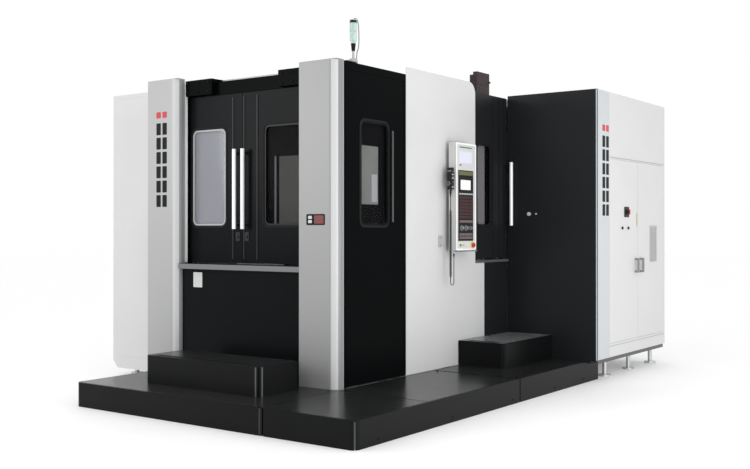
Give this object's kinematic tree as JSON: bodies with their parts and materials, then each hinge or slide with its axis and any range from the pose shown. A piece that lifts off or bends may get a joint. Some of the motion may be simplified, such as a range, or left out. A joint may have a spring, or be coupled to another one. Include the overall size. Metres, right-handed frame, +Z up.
{
  "type": "cnc machining center",
  "caption": "Horizontal machining centre with a pallet changer behind glazed swing doors, a tool magazine, an operator platform with steps, a swivelling panel and an electrical cabinet.",
  "frame": {"origin": "on the floor, under the middle of the whole machine's box", "axes": "+X to the operator's side, +Y from the pallet loading doors to the back, +Z up"},
  "size_m": [4.822, 6.321, 3.638],
  "materials": {
    "silver_paint": "satin silver paint",
    "white_paint": "satin white paint",
    "black_gloss": "gloss black paint",
    "platform_paint": "satin dark grey paint",
    "window_glass": "clear, slightly tinted",
    "bar_metal": "bright",
    "pull_metal": "satin",
    "casting_paint": "painted grey",
    "ground_steel": "ground",
    "zinc_plate": "zinc plated",
    "black_plastic": "matte",
    "maroon_paint": "satin dark maroon paint",
    "red_plastic": "gloss",
    "lamp_glass": "greenish, clear",
    "screen_glass": "smooth",
    "cord_rubber": "matte"
  },
  "bodies": {
    "root": {"bed": "casting_paint", "leveling_feet": "zinc_plate", "guide_rails": "ground_steel", "left_pillar": "silver_paint", "right_pillar": "silver_paint", "front_lower_panel": "black_gloss", "front_sill_rail": "silver_paint", "front_header": "black_gloss", "side_white_panel": "white_paint", "operator_lower_panel": "black_gloss", "operator_sill": "silver_paint", "cabinet_side_wall": "black_gloss", "electrical_cabinet": "white_paint", "drive_plate": "zinc_plate", "roof_panel": "white_paint", "magazine_cover": "white_paint", "enclosure_frame": "white_paint", "platform_front": "platform_paint", "platform_corner": "platform_paint", "platform_side": "platform_paint", "step_front": "platform_paint", "step_side": "platform_paint", "lamp_base": "black_plastic", "lamp_lens": "lamp_glass", "roof_motor": "maroon_paint", "panel_arm": "black_gloss"},
    "apc_left_leaf": {"apc_left_door": "black_gloss", "apc_left_window": "window_glass", "apc_left_handle": "bar_metal"},
    "apc_right_leaf": {"apc_right_door": "black_gloss", "apc_right_window": "window_glass", "apc_right_handle": "bar_metal"},
    "side_leaf": {"side_door": "black_gloss", "side_window": "window_glass", "side_handle": "bar_metal"},
    "operator_leaf": {"operator_door": "black_gloss", "operator_window": "window_glass", "operator_handle": "bar_metal"},
    "cabinet_front_leaf": {"cabinet_front_door": "white_paint", "cabinet_front_pull": "pull_metal"},
    "cabinet_rear_leaf": {"cabinet_rear_door": "white_paint", "cabinet_rear_pull": "pull_metal"},
    "switch_knob": {"main_switch": "black_plastic"},
    "panel": {"control_panel": "white_paint", "control_screen": "screen_glass", "pendant": "black_plastic", "pendant_cord": "cord_rubber"},
    "stop_button": {"e_stop": "red_plastic"},
    "handwheel": {"pendant_wheel": "black_plastic"},
    "saddle": {"table_saddle": "casting_paint"},
    "table": {"rotary_table": "ground_steel"},
    "moving_column": {"column": "casting_paint"},
    "head": {"spindle_head": "casting_paint"},
    "spindle_shaft": {"spindle": "ground_steel"},
    "changer_post": {"apc_post": "casting_paint"},
    "changer": {"apc_arm": "casting_paint", "setup_pallet": "ground_steel", "machine_pallet": "ground_steel"},
    "magazine_disc": {"tool_disc": "ground_steel"},
    "exchange_arm": {"atc_arm": "ground_steel"}
  },
  "joints": [
    {"name": "apc_left_hinge", "type": "hinge", "parent": "root", "child": "apc_left_leaf", "pos_m": [-0.712, -1.9295, 1.335], "axis": [0, 0, -1], "range_deg": [0, 95]},
    {"name": "apc_right_hinge", "type": "hinge", "parent": "root", "child": "apc_right_leaf", "pos_m": [0.766, -1.9295, 1.335], "axis": [0, 0, 1], "range_deg": [0, 95]},
    {"name": "side_door_hinge", "type": "hinge", "parent": "root", "child": "side_leaf", "pos_m": [1.251, -1.9505, 0.24], "axis": [0, 0, -1], "range_deg": [0, 100]},
    {"name": "operator_slide", "type": "slide", "parent": "root", "child": "operator_leaf", "axis": [0, -1, 0], "range_m": [0, 0.65]},
    {"name": "cabinet_front_hinge", "type": "hinge", "parent": "root", "child": "cabinet_front_leaf", "pos_m": [2.362, 1.4325, 0.39], "axis": [0, 0, -1], "range_deg": [0, 110]},
    {"name": "cabinet_rear_hinge", "type": "hinge", "parent": "root", "child": "cabinet_rear_leaf", "pos_m": [2.362, 3.0885, 0.39], "axis": [0, 0, 1], "range_deg": [0, 110]},
    {"name": "main_switch_turn", "type": "hinge", "parent": "cabinet_front_leaf", "child": "switch_knob", "pos_m": [2.366, 1.9105, 1.868], "axis": [1, 0, 0], "range_deg": [0, 90]},
    {"name": "panel_swivel", "type": "hinge", "parent": "root", "child": "panel", "pos_m": [1.294, 0.0995, 1.446], "axis": [0, 0, 1], "range_deg": [0, 75]},
    {"name": "e_stop_press", "type": "slide", "parent": "panel", "child": "stop_button", "axis": [-1, 0, 0], "range_m": [0, 0.006]},
    {"name": "handwheel_turn", "type": "hinge", "parent": "panel", "child": "handwheel", "pos_m": [1.368, -0.3705, 2.14], "axis": [0, 1, 0], "continuous": true},
    {"name": "table_slide", "type": "slide", "parent": "root", "child": "saddle", "axis": [0, 1, 0], "range_m": [0, 0.55]},
    {"name": "table_turn", "type": "hinge", "parent": "saddle", "child": "table", "pos_m": [0.031, 0.1395, 1.0806], "axis": [0, 0, 1], "continuous": true},
    {"name": "column_slide", "type": "slide", "parent": "root", "child": "moving_column", "axis": [1, 0, 0], "range_m": [-0.45, 0.45]},
    {"name": "head_slide", "type": "slide", "parent": "moving_column", "child": "head", "axis": [0, 0, 1], "range_m": [-0.5, 0.35]},
    {"name": "spindle_turn", "type": "hinge", "parent": "head", "child": "spindle_shaft", "pos_m": [0.031, 1.3795, 2], "axis": [0, 1, 0], "continuous": true},
    {"name": "apc_lift", "type": "slide", "parent": "root", "child": "changer_post", "axis": [0, 0, 1], "range_m": [-0.08, 0]},
    {"name": "apc_swing", "type": "hinge", "parent": "changer_post", "child": "changer", "pos_m": [0.031, -0.6605, 1.08], "axis": [0, 0, 1], "range_deg": [0, 180]},
    {"name": "disc_turn", "type": "hinge", "parent": "root", "child": "magazine_disc", "pos_m": [-1.819, 0.7305, 1.9], "axis": [0, 1, 0], "continuous": true},
    {"name": "arm_swing", "type": "hinge", "parent": "root", "child": "exchange_arm", "pos_m": [-0.887, 1.0005, 2], "axis": [0, 1, 0], "range_deg": [0, 180]}
  ]
}
